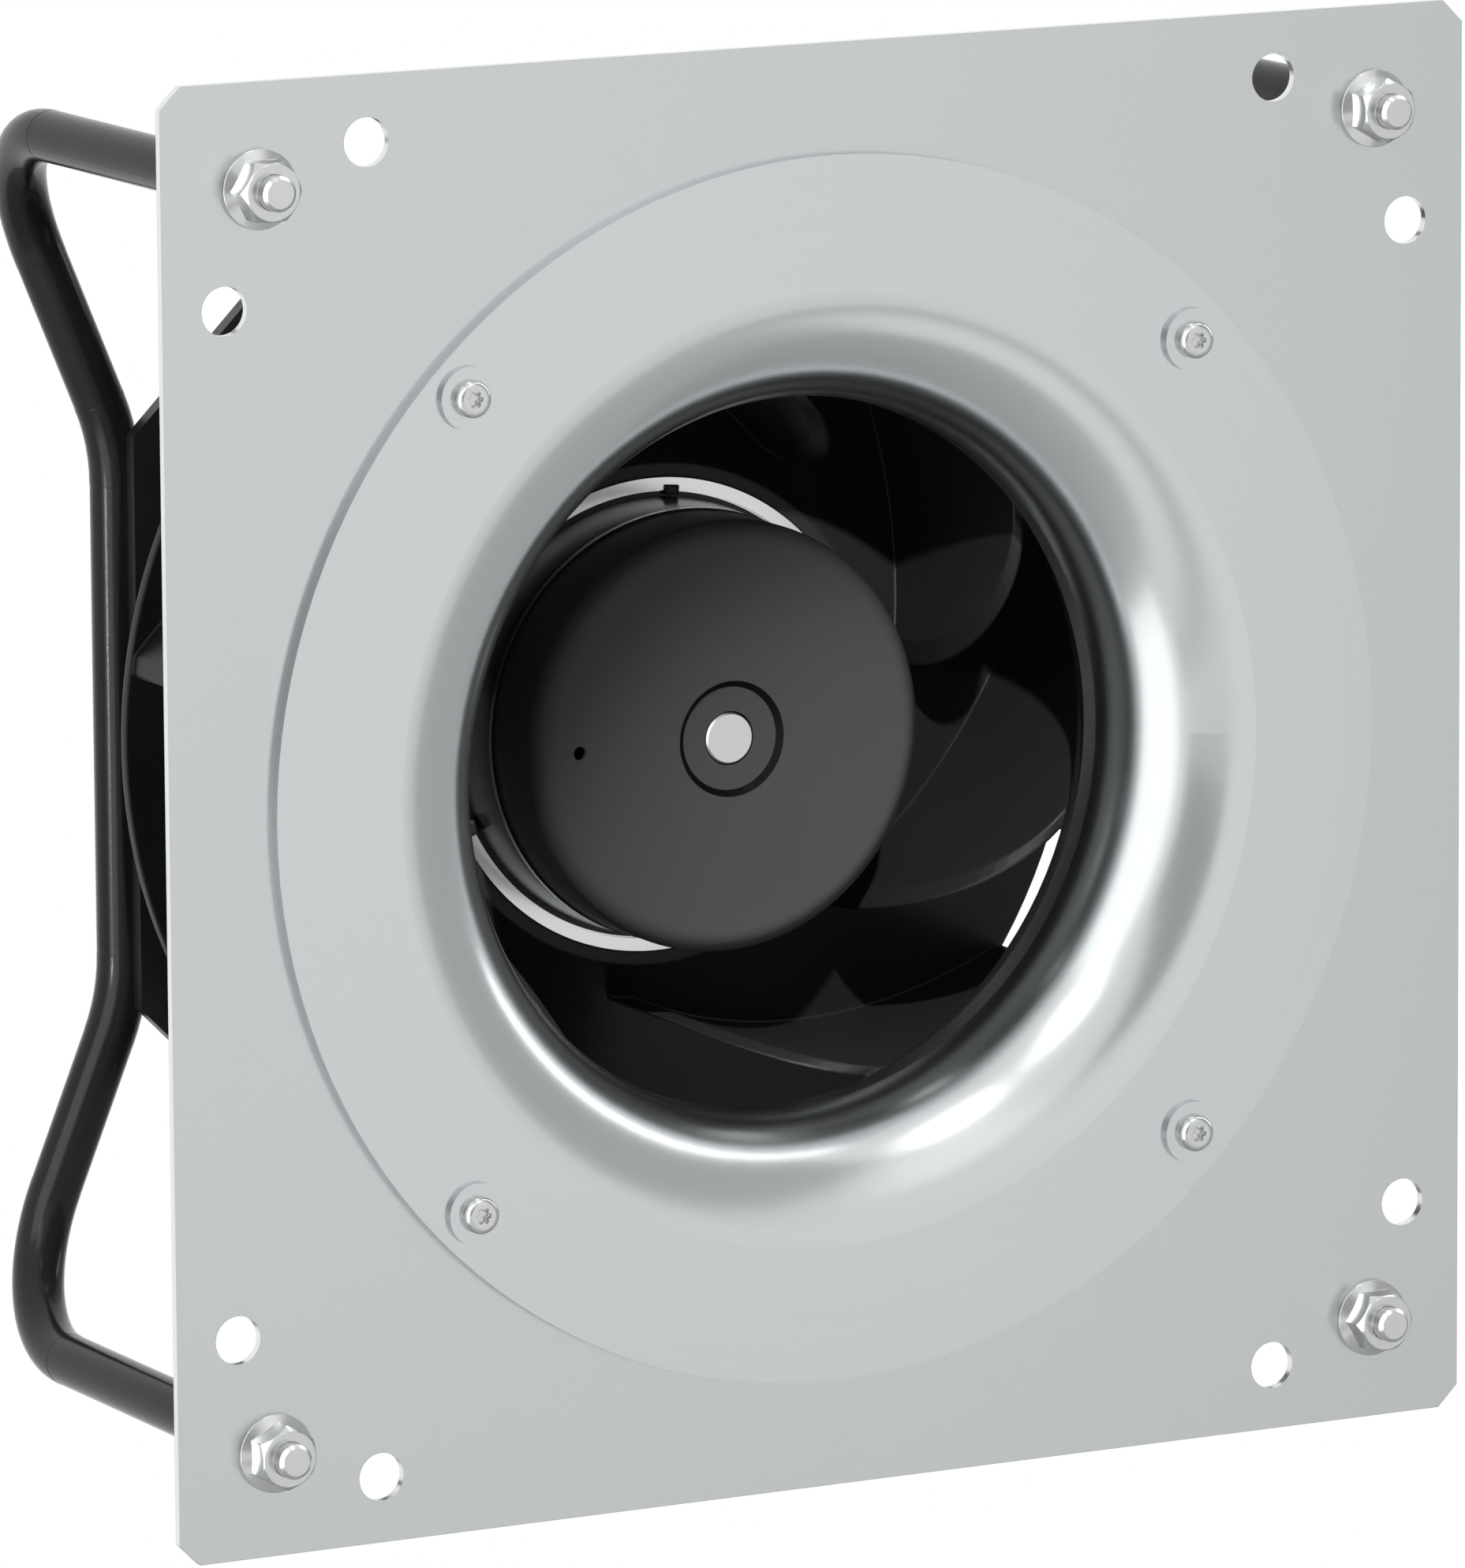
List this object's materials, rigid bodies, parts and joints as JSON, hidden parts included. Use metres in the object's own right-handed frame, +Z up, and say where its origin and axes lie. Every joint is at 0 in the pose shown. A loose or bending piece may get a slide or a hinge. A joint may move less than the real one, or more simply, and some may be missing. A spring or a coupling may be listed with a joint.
{
  "type": "plug fan",
  "caption": "Plug fan: backward-curved impeller on an external-rotor motor behind a square front plate with a rounded inlet nozzle, carried by two bent wire brackets.",
  "frame": {"origin": "centre of the front plate's front face, on the fan axis", "axes": "+X to the right seen from the front, +Y back into the fan along its axis, +Z up"},
  "size_m": [0.33, 0.1605, 0.33],
  "materials": {
    "galvanised_sheet": "galvanised sheet, smooth satin",
    "zinc_plate": "bright zinc plating",
    "black_coat": "black semi-gloss coating",
    "cast_metal": "plain casting",
    "core_steel": "stacked laminations",
    "copper_wire": "enamelled copper",
    "bearing_steel": "ground steel",
    "board_laminate": "glass laminate with green mask",
    "component_case": "black moulded cases",
    "seal_rubber": "soft matte rubber",
    "gland_plastic": "black moulded plastic",
    "impeller_plastic": "black moulded plastic, fine matte grain",
    "rotor_coat": "dark grey satin coating",
    "rotor_zinc": "bright galvanised steel",
    "magnet": "sintered ferrite",
    "shaft_steel": "ground steel"
  },
  "bodies": {
    "frame": {"front_plate": "galvanised_sheet", "inlet_ring": "galvanised_sheet", "inlet_ring_screws": "zinc_plate", "clinch_nuts": "zinc_plate", "flange_nuts": "zinc_plate", "motor_plate_screws": "zinc_plate", "board_screws": "zinc_plate", "bracket_wire_left": "black_coat", "bracket_wire_right": "black_coat", "motor_plate": "black_coat", "weld_beads": "black_coat", "stator_carrier": "cast_metal", "electronics_cover": "cast_metal", "stator_core": "core_steel", "stator_windings": "copper_wire", "bearing_outer_rings": "bearing_steel", "bearing_balls": "bearing_steel", "preload_washer": "bearing_steel", "circuit_board": "board_laminate", "board_components": "component_case", "cover_gasket": "seal_rubber", "cable_gland": "gland_plastic"},
    "rotor": {"impeller_hub": "impeller_plastic", "impeller_shroud": "impeller_plastic", "rotor_cap": "rotor_coat", "rotor_bell": "rotor_zinc", "rotor_magnets": "magnet", "rotor_shaft": "shaft_steel", "bearing_inner_rings": "bearing_steel", "shaft_circlip": "bearing_steel"}
  },
  "joints": [
    {"name": "fan_spin", "type": "hinge", "parent": "frame", "child": "rotor", "pos_m": [0, 0.08, 0], "axis": [0, 1, 0], "continuous": true}
  ]
}
